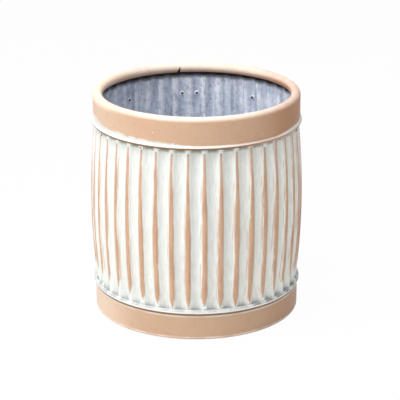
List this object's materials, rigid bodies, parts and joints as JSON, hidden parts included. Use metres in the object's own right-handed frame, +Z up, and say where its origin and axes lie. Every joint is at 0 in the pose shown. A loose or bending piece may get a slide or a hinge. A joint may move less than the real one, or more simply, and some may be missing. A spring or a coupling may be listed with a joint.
{
  "type": "planter",
  "caption": "Round floor planter of ribbed sheet metal with a barrelled wall, a rolled rim band, a beaded foot band and a drained base pan.",
  "frame": {"origin": "on the ground, at the middle of the foot ring", "axes": "+Z up along the planter's axis, -Y towards the front lap of the wall, +X to its right"},
  "size_m": [0.3767, 0.3765, 0.4],
  "materials": {
    "wall_paint": "worn satin",
    "band_paint": "worn satin",
    "zinc": "mottled dull",
    "rivet_metal": "satin"
  },
  "bodies": {
    "root": {"right_wall_sheet": "wall_paint", "left_wall_sheet": "wall_paint", "right_rim_band": "band_paint", "left_rim_band": "band_paint", "right_foot_band": "band_paint", "left_foot_band": "band_paint", "base_pan": "zinc", "rim_rivets": "rivet_metal", "foot_rivets": "rivet_metal"}
  },
  "joints": []
}
